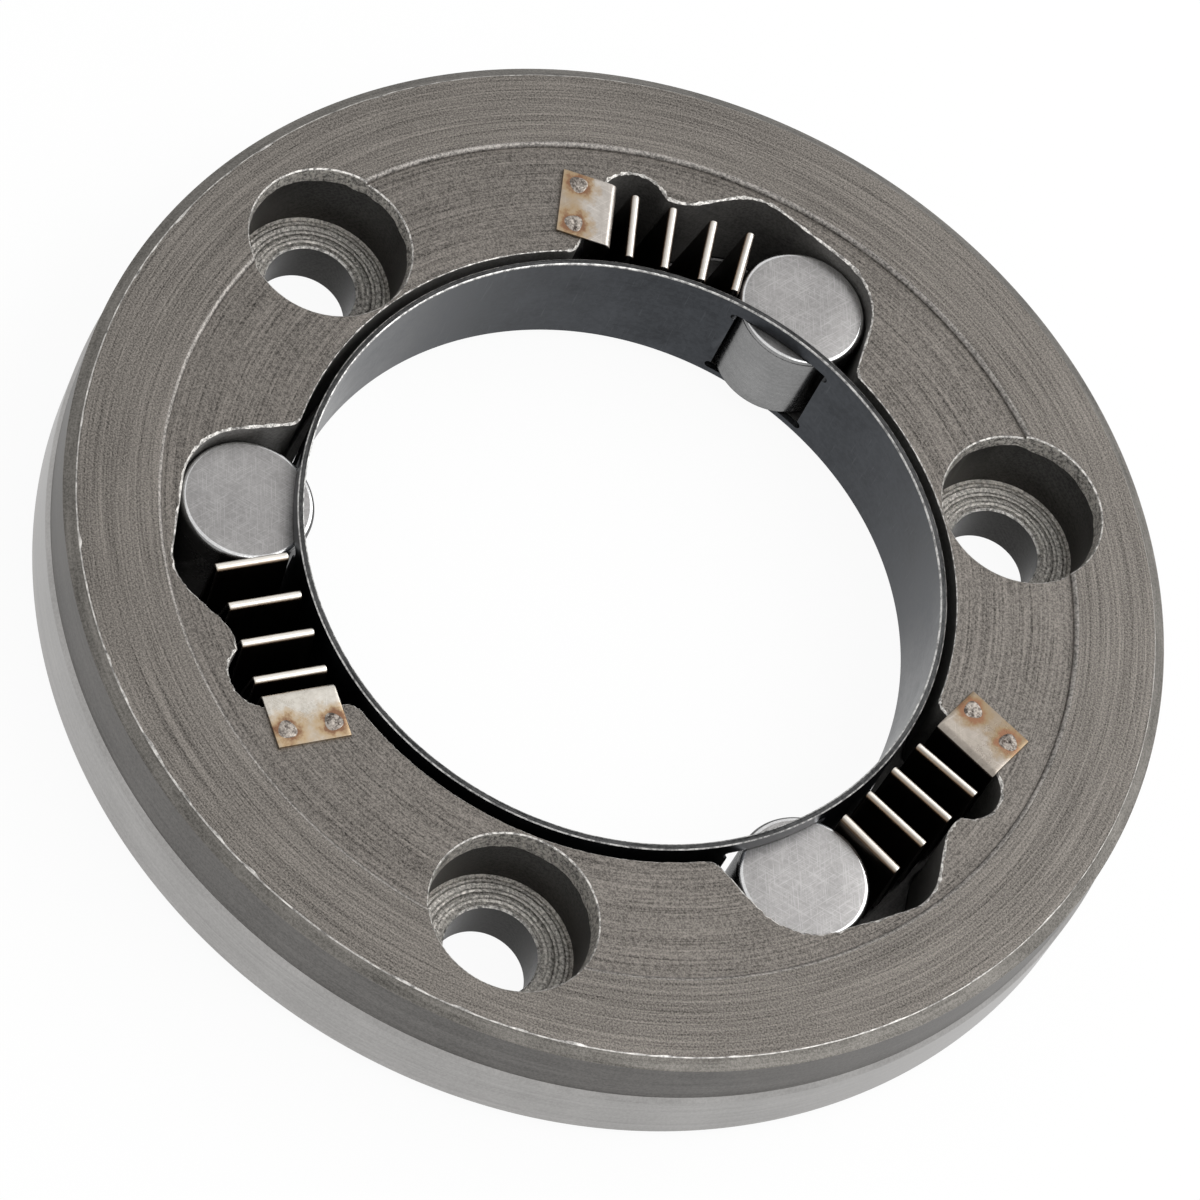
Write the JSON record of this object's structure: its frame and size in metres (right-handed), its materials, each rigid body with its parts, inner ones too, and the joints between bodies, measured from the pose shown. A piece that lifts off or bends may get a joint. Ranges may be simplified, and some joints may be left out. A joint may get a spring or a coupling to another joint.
{
  "type": "roller starter clutch",
  "caption": "Outer half of a one-way starter clutch: steel ring with cam pockets that hold rollers, strip springs and a thin roller cage round a central bore.",
  "frame": {"origin": "centre of the back face, on the clutch axis", "axes": "+Z along the clutch axis towards the face with the pockets; +X through a bolt hole"},
  "size_m": [0.1006, 0.1006, 0.0131],
  "materials": {
    "ring_steel": "turned and hardened, with fine scratches; the lower rim band is ground",
    "cage_steel": "dark, satin",
    "roller_steel": "ground and polished, with lapped ends",
    "spring_steel": "bright rolled strip",
    "weld_steel": "bright, with a straw-coloured heat tint round it"
  },
  "bodies": {
    "ring": {"clutch_ring": "ring_steel", "spring_1": "spring_steel", "spring_2": "spring_steel", "spring_3": "spring_steel", "spot_welds": "weld_steel"},
    "cage": {"retainer_cage": "cage_steel"},
    "roller_1": {"roller_1": "roller_steel"},
    "roller_2": {"roller_2": "roller_steel"},
    "roller_3": {"roller_3": "roller_steel"}
  },
  "joints": [
    {"name": "roller_1_slide", "type": "slide", "parent": "ring", "child": "roller_1", "axis": [0.9863, 0.165, 0], "range_m": [0, 0.0025], "stiffness_N_per_m": 50, "springref_m": -0.0025, "deforming": ["spring_1"]},
    {"name": "roller_2_slide", "type": "slide", "parent": "ring", "child": "roller_2", "axis": [-0.6361, 0.7716, 0], "range_m": [0, 0.0025], "deforming": ["spring_2"]},
    {"name": "roller_3_slide", "type": "slide", "parent": "ring", "child": "roller_3", "axis": [-0.3502, -0.9367, 0], "range_m": [0, 0.0025], "deforming": ["spring_3"]},
    {"name": "cage_turn", "type": "hinge", "parent": "ring", "child": "cage", "pos_m": [0, 0, 0.0071], "axis": [0, 0, 1], "range_deg": [0, 4.3]}
  ],
  "couplings": [
    {"joint": "roller_2_slide", "follows": "roller_1_slide", "ratio": 1},
    {"joint": "roller_3_slide", "follows": "roller_1_slide", "ratio": 1},
    {"joint": "cage_turn", "follows": "roller_1_slide", "rad_per_m": 29.755}
  ]
}
